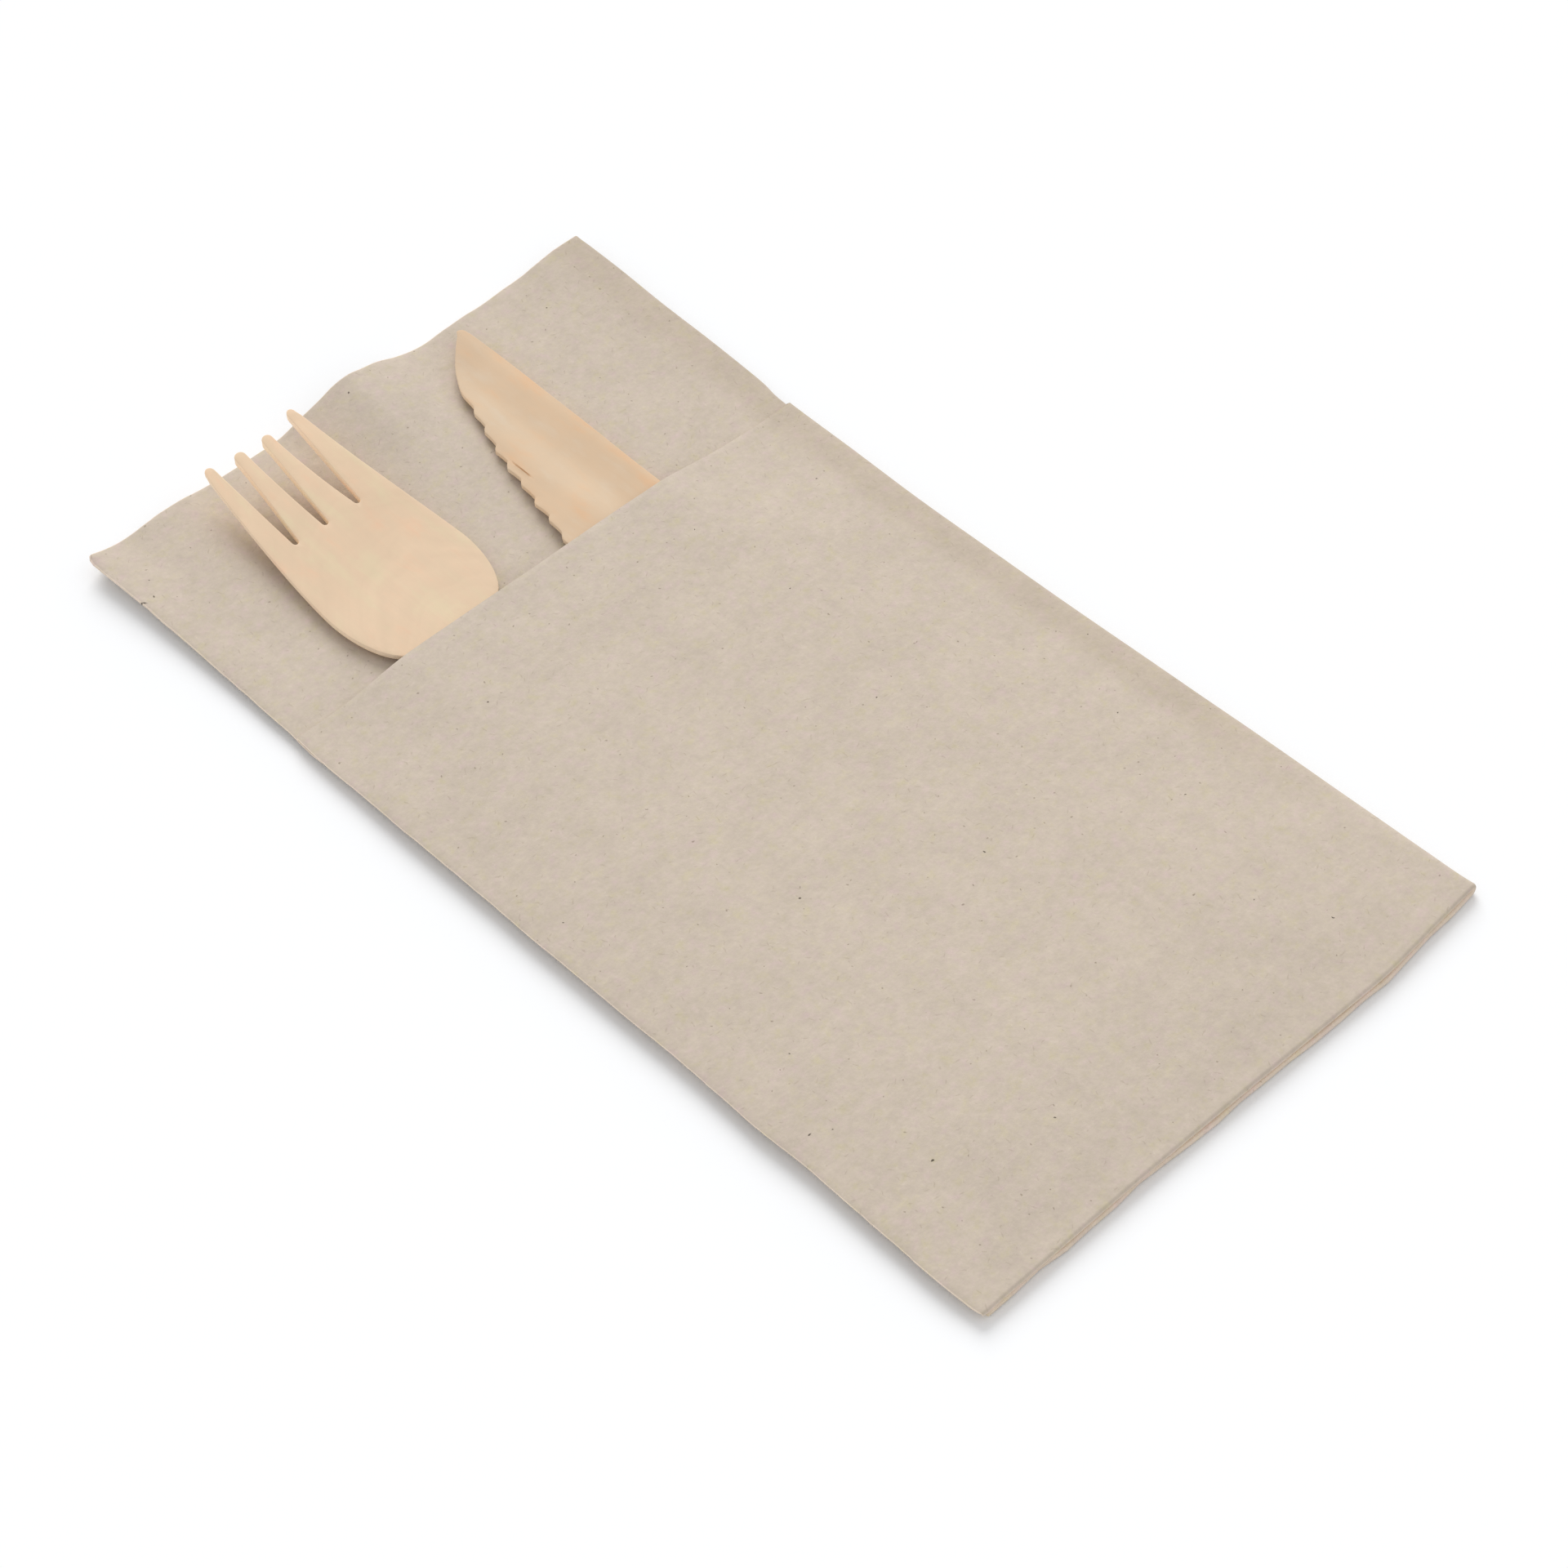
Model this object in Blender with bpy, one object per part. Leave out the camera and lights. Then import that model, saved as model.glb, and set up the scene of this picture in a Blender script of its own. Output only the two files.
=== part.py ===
# Pocket napkin with a wooden fork and knife, in metres, +Z up.
# The origin is under the middle of the folded napkin, on the table that it lies on.
# X runs across the napkin, Y along it towards the tine tips, Z up.

import math

import bmesh
import bpy

# Napkin sheet. The tissue is doubled across its width first, so one thickness here is two tissues.
SHEET_WIDTH = 0.400
SHEET_LENGTH = 0.3285
SHEET_THICKNESS = 0.0004
LAYER_GAP = 0.0003
FLAP_LENGTH = 0.1388
BOTTOM_SETBACK = 0.0015
FLAP_OVERHANG = 0.0004
MOUTH_SLANT = 0.0020

# Soft shape of the pocket front.
POCKET_CLEARANCE = 0.0003
NEAR_RISE_START = 0.003
NEAR_RISE_END = 0.019
LEFT_RISE_START = 0.004
SIDE_ROLL = 0.009
POCKET_SAG = 0.0003
SAG_HALF_WIDTH = 0.006

# Ripples of the free top edge: place across the width from 0 to 1, half width, height.
EDGE_RIPPLES = (
    (0.000, 0.0040, 0.0010),
    (0.065, 0.0040, -0.0003),
    (0.220, 0.0100, 0.0008),
    (0.518, 0.0070, 0.0048),
    (0.660, 0.0055, -0.0009),
    (0.780, 0.0060, -0.0006),
    (0.955, 0.0080, 0.0017),
)
RIPPLE_LENGTH = 0.045
# Steepest climb of the top edge from the side of a fork or knife that lies on it.
RIPPLE_CLIMB = 0.45

# Fork, stamped from veneer and pressed. Places along it are measured back from the tine tips.
# Its butt stands in the pocket, in from the napkin's near edge.
FORK_LENGTH = 0.160
FORK_THICKNESS = 0.0015
FORK_AXIS_X = -0.0202
FORK_BUTT_INSET = 0.0267
HEAD_WIDTH = 0.0262
HEAD_TIP_WIDTH = 0.0181
HEAD_TAPER_POWER = 1.35
SHOULDER_FROM_TIP = 0.035
HEAD_BASE_LENGTH = 0.0135
NECK_WIDTH = 0.0130
FORK_BUTT_WIDTH = 0.0170
FORK_BUTT_ROUND = 0.0080
NECK_BLEND = 0.0025
TINE_TIP_ROUND = 0.0009
TINE_LIFT = 0.0044
LIFT_POWER = 1.6
HEAD_DISH = 0.0004
SLOT_LENGTH = 0.0192
# Slots between the tines: root centre and mouth centre across from the fork's axis, mouth width.
TINE_SLOTS = (
    (-0.0071, -0.00575, 0.0031),
    (-0.0015, -0.0007, 0.0032),
    (0.0048, 0.0050, 0.0045),
)
SLOT_ROOT_WIDTH = 0.0011

# Knife, from thinner veneer with a groove pressed along it. Places along it run back from its tip.
KNIFE_LENGTH = 0.165
KNIFE_THICKNESS = 0.0014
KNIFE_SPINE_X = 0.0218
KNIFE_BUTT_INSET = 0.0210
BELLY_LENGTH = 0.0144
BELLY_WIDTH = 0.0104
TOOTH_COUNT = 9
TOOTH_RISE = 0.0012
TOOTH_RUN = 0.0031
TOOTH_STEP = 0.00096
TOOTH_DRIFT = 0.0002
HEEL_LENGTH = 0.007
KNIFE_HANDLE_WIDTH = 0.0170
KNIFE_BUTT_ROUND = 0.0080
KNIFE_TIP_ROUND = 0.0009
GROOVE_DEPTH = 0.0006
GROOVE_HALF_WIDTH = 0.0070
GROOVE_START = 0.012
GROOVE_FADE = 0.020

# Spacing of the mesh.
PANEL_COLUMNS = 25
BACK_COLUMNS = 8
SIDE_FOLD_STEPS = 8
FLAP_ROWS = 16
NEAR_FOLD_STEPS = 6
BACK_ROWS = 20
OUTLINE_STEP = 0.0030
BEND_STEP = 0.0040
TINE_TIP_STEPS = 6
SLOT_ROOT_STEPS = 4
BUTT_STEPS = 12
KNIFE_TIP_STEPS = 3
BELLY_ROWS = 7
HEEL_ROWS = 4

# Rims of the stamped wood, eased by the press.
EDGE_EASE = 0.00025

# Worked out from the sizes above.
PITCH = SHEET_THICKNESS + LAYER_GAP
NEAR_RADIUS = PITCH / 2
SIDE_RADIUS = PITCH
STACK_MIDDLE = 2 * PITCH - PITCH / 2 + SHEET_THICKNESS / 2
DOUBLED_WIDTH = SHEET_WIDTH / 2
FLAT_PANELS = DOUBLED_WIDTH - math.pi * SIDE_RADIUS
PANEL_LENGTH_X = (FLAT_PANELS + BOTTOM_SETBACK) / 2
OUTER_REACH = SIDE_RADIUS + NEAR_RADIUS + SHEET_THICKNESS / 2
NAPKIN_WIDTH = PANEL_LENGTH_X + OUTER_REACH
LEFT_X = -NAPKIN_WIDTH / 2
RIGHT_X = NAPKIN_WIDTH / 2
FOLD_X = RIGHT_X - OUTER_REACH
NEAR_REACH = NEAR_RADIUS + SHEET_THICKNESS / 2
BACK_LENGTH = SHEET_LENGTH - (FLAP_LENGTH - NEAR_REACH) - math.pi * NEAR_RADIUS
NAPKIN_LENGTH = BACK_LENGTH + NEAR_REACH
NEAR_Y = -NAPKIN_LENGTH / 2
FAR_Y = NAPKIN_LENGTH / 2
FOLD_Y = NEAR_Y + NEAR_REACH
MOUTH_Y = NEAR_Y + FLAP_LENGTH

SEAT_Z = STACK_MIDDLE + SIDE_RADIUS - NEAR_RADIUS + SHEET_THICKNESS / 2 + POCKET_CLEARANCE
FORK_TIP_Y = NEAR_Y + FORK_BUTT_INSET + FORK_LENGTH
KNIFE_TIP_Y = NEAR_Y + KNIFE_BUTT_INSET + KNIFE_LENGTH
KNIFE_LEFT_X = KNIFE_SPINE_X - KNIFE_HANDLE_WIDTH
TOOTH_PITCH = TOOTH_RISE + TOOTH_RUN
TOOTH_GROWTH = TOOTH_STEP + TOOTH_DRIFT
TEETH_END = BELLY_LENGTH + TOOTH_RISE + (TOOTH_COUNT - 1) * TOOTH_PITCH
BLADE_WIDTH = BELLY_WIDTH + TOOTH_STEP + (TOOTH_COUNT - 1) * TOOTH_GROWTH
CUTLERY_TOP = SEAT_Z + max(FORK_THICKNESS, KNIFE_THICKNESS + GROOVE_DEPTH)
FLAP_UNDERSIDE = STACK_MIDDLE + SIDE_RADIUS + NEAR_RADIUS - SHEET_THICKNESS / 2
POCKET_RISE = CUTLERY_TOP + POCKET_CLEARANCE - FLAP_UNDERSIDE


def clear_scene():
    for obj in list(bpy.data.objects):
        bpy.data.objects.remove(obj, do_unlink=True)


def make_material(name, colour, roughness):
    material = bpy.data.materials.new(name)
    material.use_nodes = True
    shader = material.node_tree.nodes["Principled BSDF"]
    shader.inputs["Base Color"].default_value = (*colour, 1.0)
    shader.inputs["Roughness"].default_value = roughness
    shader.inputs["Metallic"].default_value = 0.0
    return material


def make_object(name, bm, material):
    mesh = bpy.data.meshes.new(name)
    bm.to_mesh(mesh)
    bm.free()
    mesh.shade_smooth()
    mesh.set_sharp_from_angle(angle=math.radians(40))
    obj = bpy.data.objects.new(name, mesh)
    obj.data.materials.append(material)
    bpy.context.scene.collection.objects.link(obj)
    return obj


def ease(start, end, value):
    """0 before start, 1 after end, and a smooth rise between them."""
    t = min(max((value - start) / (end - start), 0.0), 1.0)
    return t * t * (3 - 2 * t)


def bell(offset, half_width):
    return math.exp(-((offset / half_width) ** 2))


def smooth_max(a, b, blend):
    """The larger of two values, with the corner between them rounded off."""
    overlap = max(blend - abs(a - b), 0.0) / blend
    return max(a, b) + overlap * overlap * blend / 4


def mix(a, b, share):
    return a + (b - a) * share


def fork_half_width(back):
    """Half the fork's width at a distance back from the tine tips."""
    head, neck = HEAD_WIDTH / 2, NECK_WIDTH / 2
    if back < SHOULDER_FROM_TIP:
        taper = (1 - back / SHOULDER_FROM_TIP) ** HEAD_TAPER_POWER
        return mix(head, HEAD_TIP_WIDTH / 2, taper)
    base = (back - SHOULDER_FROM_TIP) / HEAD_BASE_LENGTH
    bowl = neck + (head - neck) * math.sqrt(max(1 - base * base, 0.0))
    handle_start = SHOULDER_FROM_TIP + HEAD_BASE_LENGTH
    along_handle = max(back - handle_start, 0.0) / (FORK_LENGTH - handle_start)
    handle = mix(neck, FORK_BUTT_WIDTH / 2, along_handle)
    return smooth_max(bowl, handle, NECK_BLEND)


def fork_lift(back):
    """How far the pressed tines rise at a distance back from their tips."""
    return TINE_LIFT * max(1 - max(back, 0.0) / SHOULDER_FROM_TIP, 0.0) ** LIFT_POWER


def fork_dish(back):
    """How far the sides of the pressed bowl stand above its middle."""
    bowl_end = SHOULDER_FROM_TIP + HEAD_BASE_LENGTH
    return HEAD_DISH * ease(0.0, SLOT_LENGTH, back) * (1 - ease(SHOULDER_FROM_TIP, bowl_end, back))


def belly_width(back):
    return BELLY_WIDTH * (1 - (1 - back / BELLY_LENGTH) ** 2)


def blade_width(back):
    """The blade's width from its spine to the points of its teeth."""
    if back < BELLY_LENGTH:
        return belly_width(max(back, 0.0))
    teeth = BELLY_WIDTH + TOOTH_STEP + TOOTH_GROWTH * (back - BELLY_LENGTH) / TOOTH_PITCH
    return min(teeth, BLADE_WIDTH)


def ripple_ceiling(x, y):
    """How high the top edge may lift at a place, for the fork and the knife that lie on it."""
    fork_back = FORK_TIP_Y - y
    beside_fork = abs(x - FORK_AXIS_X) - fork_half_width(max(fork_back, 0.0))
    from_fork = math.hypot(max(beside_fork, 0.0), max(-fork_back, 0.0))
    knife_back = KNIFE_TIP_Y - y
    beside_knife = max(x - KNIFE_SPINE_X, KNIFE_SPINE_X - blade_width(knife_back) - x)
    from_knife = math.hypot(max(beside_knife, 0.0), max(-knife_back, 0.0))
    return min(fork_lift(fork_back) + RIPPLE_CLIMB * from_fork, RIPPLE_CLIMB * from_knife)


def edge_ripple(x, y):
    """How far the free top of the back panels lifts off its flat place."""
    share = ease(FAR_Y - RIPPLE_LENGTH, FAR_Y + RIPPLE_LENGTH, y) * 2
    heights = (h * bell(x - mix(LEFT_X, RIGHT_X, place), w) for place, w, h in EDGE_RIPPLES)
    return min(share * sum(heights), ripple_ceiling(x, y))


def pocket_rise(x, y):
    """How far the pocket front is held up by the fork and the knife inside it."""
    butt_y = NEAR_Y + min(FORK_BUTT_INSET, KNIFE_BUTT_INSET)
    near = ease(NEAR_Y + NEAR_RISE_START, min(NEAR_Y + NEAR_RISE_END, butt_y), y)
    widest_covered = max(FORK_TIP_Y - MOUTH_Y, SHOULDER_FROM_TIP)
    left = ease(LEFT_X + LEFT_RISE_START, FORK_AXIS_X - fork_half_width(widest_covered), x)
    from_side = min(max(RIGHT_X - SHEET_THICKNESS / 2 - x, 0.0) / SIDE_ROLL, 1.0)
    right = math.sqrt(max(1 - (1 - from_side) ** 2, 0.0))
    between = (FORK_AXIS_X + NECK_WIDTH / 2 + KNIFE_LEFT_X) / 2
    sag = POCKET_SAG * bell(x - between, SAG_HALF_WIDTH)
    fork_back = FORK_TIP_Y - y
    over_fork = 1 - ease(FORK_AXIS_X + HEAD_WIDTH / 2, KNIFE_LEFT_X, x)
    bowl = over_fork * (fork_lift(fork_back) + fork_dish(fork_back))
    return near * left * (right * POCKET_RISE - sag + bowl)


def across_stations():
    """Mid-line of the folded strip, end to end: place, outward direction, top share, length so far."""
    stations = []
    for i in range(PANEL_COLUMNS + 1):
        share = i / PANEL_COLUMNS
        x = mix(LEFT_X, FOLD_X, share)
        stations.append((x, STACK_MIDDLE + SIDE_RADIUS, 0.0, 1.0, 1 - share, share * PANEL_LENGTH_X))
    for i in range(1, SIDE_FOLD_STEPS):
        angle = math.pi / 2 - math.pi * i / SIDE_FOLD_STEPS
        out_x, out_z = math.cos(angle), math.sin(angle)
        x = FOLD_X + SIDE_RADIUS * out_x
        z = STACK_MIDDLE + SIDE_RADIUS * out_z
        length = PANEL_LENGTH_X + (math.pi / 2 - angle) * SIDE_RADIUS
        stations.append((x, z, out_x, out_z, 0.0, length))
    panel_end = LEFT_X + BOTTOM_SETBACK
    for i in range(BACK_COLUMNS + 1):
        share = i / BACK_COLUMNS
        x = mix(FOLD_X, panel_end, share)
        length = PANEL_LENGTH_X + math.pi * SIDE_RADIUS + FOLD_X - x
        stations.append((x, STACK_MIDDLE - SIDE_RADIUS, 0.0, -1.0, 0.0, length))
    return stations


def along_stations():
    """From the mouth round the near fold to the far edge: share of the flap, place, offset."""
    stations = []
    for i in range(FLAP_ROWS + 1):
        stations.append((1 - i / FLAP_ROWS, FOLD_Y, NEAR_RADIUS))
    for i in range(1, NEAR_FOLD_STEPS):
        angle = math.pi / 2 + math.pi * i / NEAR_FOLD_STEPS
        y = FOLD_Y + NEAR_RADIUS * math.cos(angle)
        stations.append((0.0, y, NEAR_RADIUS * math.sin(angle)))
    for i in range(BACK_ROWS + 1):
        y = mix(FOLD_Y, FAR_Y, i / BACK_ROWS)
        stations.append((0.0, y, -NEAR_RADIUS))
    return stations


def sheet_point(across, along):
    x, z, out_x, out_z, left_share, length = across
    flap_share, y, offset = along
    if flap_share > 0:
        mouth_y = MOUTH_Y + MOUTH_SLANT * (0.5 - length / PANEL_LENGTH_X)
        y = mix(FOLD_Y, mouth_y, flap_share)
    x += offset * out_x
    z += offset * out_z
    if offset > 0 and out_z >= 0:
        z += offset / NEAR_RADIUS * pocket_rise(x, y)
    if offset < 0:
        z += edge_ripple(x, y)
        x += FLAP_OVERHANG * left_share
    return x, y, z


def make_napkin(material):
    across = across_stations()
    along = along_stations()
    columns, rows = len(across) - 1, len(along) - 1
    bm = bmesh.new()
    bmesh.ops.create_grid(bm, x_segments=columns, y_segments=rows, size=1.0)
    for vert in bm.verts:
        column = round((vert.co.x + 1) / 2 * columns)
        row = round((vert.co.y + 1) / 2 * rows)
        vert.co = sheet_point(across[column], along[row])
    napkin = make_object("napkin", bm, material)
    solidify = napkin.modifiers.new("sheet thickness", "SOLIDIFY")
    solidify.thickness = SHEET_THICKNESS
    solidify.offset = 0.0
    solidify.use_even_offset = True
    return napkin


def spaced(start, end):
    """Even places from start up to, but not including, end."""
    count = max(round(abs(end - start) / OUTLINE_STEP), 2)
    return [mix(start, end, i / count) for i in range(count)]


def round_end(centre_x, centre_y, radius_x, radius_y, start, end, steps):
    """Points on an ellipse from one angle to another, in degrees."""
    points = []
    for i in range(steps + 1):
        angle = math.radians(mix(start, end, i / steps))
        points.append((centre_x + radius_x * math.cos(angle), centre_y + radius_y * math.sin(angle)))
    return points


def slot_outline(root, mouth, width):
    """One slot between two tines, down its left side, round its root and up its right side."""
    half_root = SLOT_ROOT_WIDTH / 2
    root_y = -SLOT_LENGTH + half_root
    left_middle = ((mouth - width / 2 + root - half_root) / 2, root_y / 2)
    right_middle = ((mouth + width / 2 + root + half_root) / 2, root_y / 2)
    round_root = round_end(root, root_y, half_root, half_root, 180, 360, SLOT_ROOT_STEPS)
    return [left_middle, *round_root, right_middle]


def fork_outline():
    """The fork's plan from tine 1 round the right side, the butt and the left side, tips at y = 0."""
    tips = [-HEAD_TIP_WIDTH / 2]
    for root, mouth, width in TINE_SLOTS:
        tips += [mouth - width / 2, mouth + width / 2]
    tips.append(HEAD_TIP_WIDTH / 2)
    points = []
    for tine in range(len(TINE_SLOTS) + 1):
        left, right = tips[2 * tine], tips[2 * tine + 1]
        middle, radius = (left + right) / 2, (right - left) / 2
        points += round_end(middle, -TINE_TIP_ROUND, radius, TINE_TIP_ROUND, 180, 0, TINE_TIP_STEPS)
        if tine < len(TINE_SLOTS):
            points += slot_outline(*TINE_SLOTS[tine])
    straight_end = FORK_LENGTH - FORK_BUTT_ROUND
    butt_half = fork_half_width(straight_end)
    side = [OUTLINE_STEP, *spaced(2 * OUTLINE_STEP, straight_end)]
    points += [(fork_half_width(back), -back) for back in side]
    points += round_end(0.0, -straight_end, butt_half, FORK_BUTT_ROUND, 0, -180, BUTT_STEPS)
    points += [(-fork_half_width(back), -back) for back in reversed(side)]
    return points


def knife_outline():
    """The knife's plan with its tip at y = 0 and its spine on x = 0, teeth towards -X."""
    half_handle = KNIFE_HANDLE_WIDTH / 2
    straight_end = KNIFE_LENGTH - KNIFE_BUTT_ROUND
    tip = KNIFE_TIP_ROUND
    points = round_end(-tip, -tip, tip, tip, 90, 0, KNIFE_TIP_STEPS)
    points += [(0.0, -back) for back in spaced(2 * OUTLINE_STEP, straight_end)]
    points += round_end(-half_handle, -straight_end, half_handle, KNIFE_BUTT_ROUND, 0, -180, BUTT_STEPS)
    heel_end = TEETH_END + HEEL_LENGTH
    points += [(-KNIFE_HANDLE_WIDTH, -back) for back in reversed(spaced(heel_end, straight_end))]
    for row in range(1, HEEL_ROWS):
        share = row / HEEL_ROWS
        width = mix(KNIFE_HANDLE_WIDTH, BLADE_WIDTH, ease(0.0, 1.0, share))
        points.append((-width, -mix(heel_end, TEETH_END, share)))
    for tooth in reversed(range(TOOTH_COUNT)):
        width = BELLY_WIDTH + tooth * TOOTH_GROWTH
        back = BELLY_LENGTH + tooth * TOOTH_PITCH
        points.append((-width - TOOTH_STEP, -back - TOOTH_RISE))
        points.append((-width, -back))
    for row in reversed(range(1, BELLY_ROWS)):
        back = BELLY_LENGTH * row / BELLY_ROWS
        points.append((-belly_width(back), -back))
    return points


def stamped(outline, thickness):
    """A flat blank cut to an outline, its rims eased, with cross cuts so that it can be pressed."""
    bm = bmesh.new()
    face = bm.faces.new([bm.verts.new((x, y, 0.0)) for x, y in outline])
    raised = bmesh.ops.extrude_face_region(bm, geom=[face])
    top = [item for item in raised["geom"] if isinstance(item, bmesh.types.BMVert)]
    bmesh.ops.translate(bm, verts=top, vec=(0.0, 0.0, thickness))
    bmesh.ops.recalc_face_normals(bm, faces=bm.faces)
    rims = [edge for edge in bm.edges if abs(edge.verts[0].co.z - edge.verts[1].co.z) < thickness / 2]
    bmesh.ops.bevel(
        bm, geom=rims, offset=EDGE_EASE, segments=1, profile=0.5, affect="EDGES", material=-1
    )
    cut_across(bm)
    return bm


def cut_across(bm):
    """Cuts a blank at even places along it and at a few across it."""
    low = min(v.co.y for v in bm.verts)
    rows = round(-low / BEND_STEP)
    for i in range(1, rows):
        geom = [*bm.verts, *bm.edges, *bm.faces]
        place = (0.0, low * i / rows, 0.0)
        bmesh.ops.bisect_plane(bm, geom=geom, plane_co=place, plane_no=(0, 1, 0), dist=1e-6)
    left = min(v.co.x for v in bm.verts)
    right = max(v.co.x for v in bm.verts)
    columns = round((right - left) / BEND_STEP)
    for i in range(1, columns):
        geom = [*bm.verts, *bm.edges, *bm.faces]
        place = (mix(left, right, i / columns), 0.0, 0.0)
        bmesh.ops.bisect_plane(bm, geom=geom, plane_co=place, plane_no=(1, 0, 0), dist=1e-6)


def make_fork(material):
    bm = stamped(fork_outline(), FORK_THICKNESS)
    for vert in bm.verts:
        back = -vert.co.y
        dish = fork_dish(back) * (vert.co.x / (HEAD_WIDTH / 2)) ** 2
        vert.co.z += SEAT_Z + fork_lift(back) + dish
        vert.co.x += FORK_AXIS_X
        vert.co.y += FORK_TIP_Y
    return make_object("fork", bm, material)


def make_knife(material):
    bm = stamped(knife_outline(), KNIFE_THICKNESS)
    for vert in bm.verts:
        back = -vert.co.y
        depth = GROOVE_DEPTH * ease(GROOVE_START, GROOVE_START + GROOVE_FADE, back)
        off_centre = (vert.co.x + KNIFE_HANDLE_WIDTH / 2) / GROOVE_HALF_WIDTH
        vert.co.z += SEAT_Z + GROOVE_DEPTH - depth * math.exp(-off_centre * off_centre)
        vert.co.x += KNIFE_SPINE_X
        vert.co.y += KNIFE_TIP_Y
    return make_object("knife", bm, material)


def main():
    clear_scene()
    tissue = make_material("unbleached_tissue", (0.62, 0.53, 0.44), 0.95)
    birch_fork = make_material("birch_fork", (0.78, 0.60, 0.43), 0.6)
    birch_knife = make_material("birch_knife", (0.70, 0.53, 0.38), 0.6)
    make_napkin(tissue)
    make_fork(birch_fork)
    make_knife(birch_knife)


main()
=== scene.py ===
import math

import bmesh
import bpy
from mathutils import Matrix, Vector, noise


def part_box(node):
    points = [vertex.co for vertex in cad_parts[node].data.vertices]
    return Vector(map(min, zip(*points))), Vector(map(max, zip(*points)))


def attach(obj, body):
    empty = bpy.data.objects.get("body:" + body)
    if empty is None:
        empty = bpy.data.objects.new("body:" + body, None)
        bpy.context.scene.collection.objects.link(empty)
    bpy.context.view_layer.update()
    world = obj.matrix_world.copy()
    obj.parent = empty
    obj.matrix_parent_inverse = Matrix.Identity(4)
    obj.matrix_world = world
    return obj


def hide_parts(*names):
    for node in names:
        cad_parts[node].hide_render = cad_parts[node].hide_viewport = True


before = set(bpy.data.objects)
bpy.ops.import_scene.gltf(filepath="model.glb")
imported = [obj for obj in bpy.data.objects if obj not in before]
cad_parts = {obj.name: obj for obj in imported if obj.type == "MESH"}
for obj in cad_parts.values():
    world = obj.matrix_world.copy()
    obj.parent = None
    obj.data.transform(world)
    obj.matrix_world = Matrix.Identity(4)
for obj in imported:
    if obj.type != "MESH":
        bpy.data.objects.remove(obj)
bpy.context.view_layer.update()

# A folded pocket napkin with a pressed birch fork and knife in its pocket.
# Metres, +Z up. X runs across the napkin, Y along it towards the tine tips.

MM = 0.001

# The folded stack, as the solids have it.
NAPKIN_LOW, NAPKIN_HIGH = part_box("napkin")
LEFT_X = -0.05045
RIGHT_X = 0.05045
NEAR_Y = NAPKIN_LOW[1]
FAR_Y = NAPKIN_HIGH[1]
SHEET_THICKNESS = 0.0004
LAYER_PITCH = 0.0007
NEAR_RADIUS = LAYER_PITCH / 2
SIDE_RADIUS = LAYER_PITCH
STACK_MIDDLE = 0.00125
FLAT_WIDTH = 0.200
FLAT_LENGTH = 0.3285
FLAP_LENGTH = 0.1388
BOTTOM_SETBACK = 0.0015
PANEL_WIDTH = (FLAT_WIDTH - math.pi * SIDE_RADIUS + BOTTOM_SETBACK) / 2
FOLD_X = RIGHT_X - SIDE_RADIUS - NEAR_RADIUS - SHEET_THICKNESS / 2
FOLD_Y = NEAR_Y + NEAR_RADIUS + SHEET_THICKNESS / 2
MOUTH_Y = NEAR_Y + FLAP_LENGTH
MOUTH_SLANT = 0.0020

# Cutlery, laid in the pocket on the back panel.
FORK_SEAT_Z = 0.00225
KNIFE_SEAT_Z = 0.00195
FORK_LENGTH = 0.160
FORK_THICKNESS = 0.0015
# The photo shows the fork 0.6 mm further left than its solid lies.
FORK_AXIS_X = -0.0208
FORK_TIP_Y = NEAR_Y + 0.0267 + FORK_LENGTH
KNIFE_LENGTH = 0.165
KNIFE_THICKNESS = 0.0014
KNIFE_SPINE_X = 0.0218
KNIFE_TIP_Y = NEAR_Y + 0.0210 + KNIFE_LENGTH


def mix(a, b, share):
    return a + (b - a) * share


def ease(start, end, value):
    t = min(max((value - start) / (end - start), 0.0), 1.0)
    return t * t * (3 - 2 * t)


def bell(offset, half_width):
    return math.exp(-((offset / half_width) ** 2))


def curve(points, value):
    """A smooth line through (place, height) points, level beyond its ends."""
    if value <= points[0][0]:
        return points[0][1]
    if value >= points[-1][0]:
        return points[-1][1]
    i = max(k for k in range(len(points) - 1) if points[k][0] <= value)
    slopes = []
    for k in (i, i + 1):
        before, after = points[max(k - 1, 0)], points[min(k + 1, len(points) - 1)]
        slopes.append((after[1] - before[1]) / (after[0] - before[0]))
    (x0, y0), (x1, y1) = points[i], points[i + 1]
    span = x1 - x0
    t = (value - x0) / span
    rise = (2 * t**3 - 3 * t**2 + 1) * y0 + (3 * t**2 - 2 * t**3) * y1
    return rise + span * ((t**3 - 2 * t**2 + t) * slopes[0] + (t**3 - t**2) * slopes[1])


def smooth_object(name, bm, material):
    mesh = bpy.data.meshes.new(name)
    bm.to_mesh(mesh)
    bm.free()
    mesh.shade_smooth()
    mesh.set_sharp_from_angle(angle=math.radians(50))
    piece = bpy.data.objects.new(name, mesh)
    piece.data.materials.append(material)
    bpy.context.scene.collection.objects.link(piece)
    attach(piece, "root")
    return piece


# ---------------------------------------------------------------- shader parts


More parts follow.
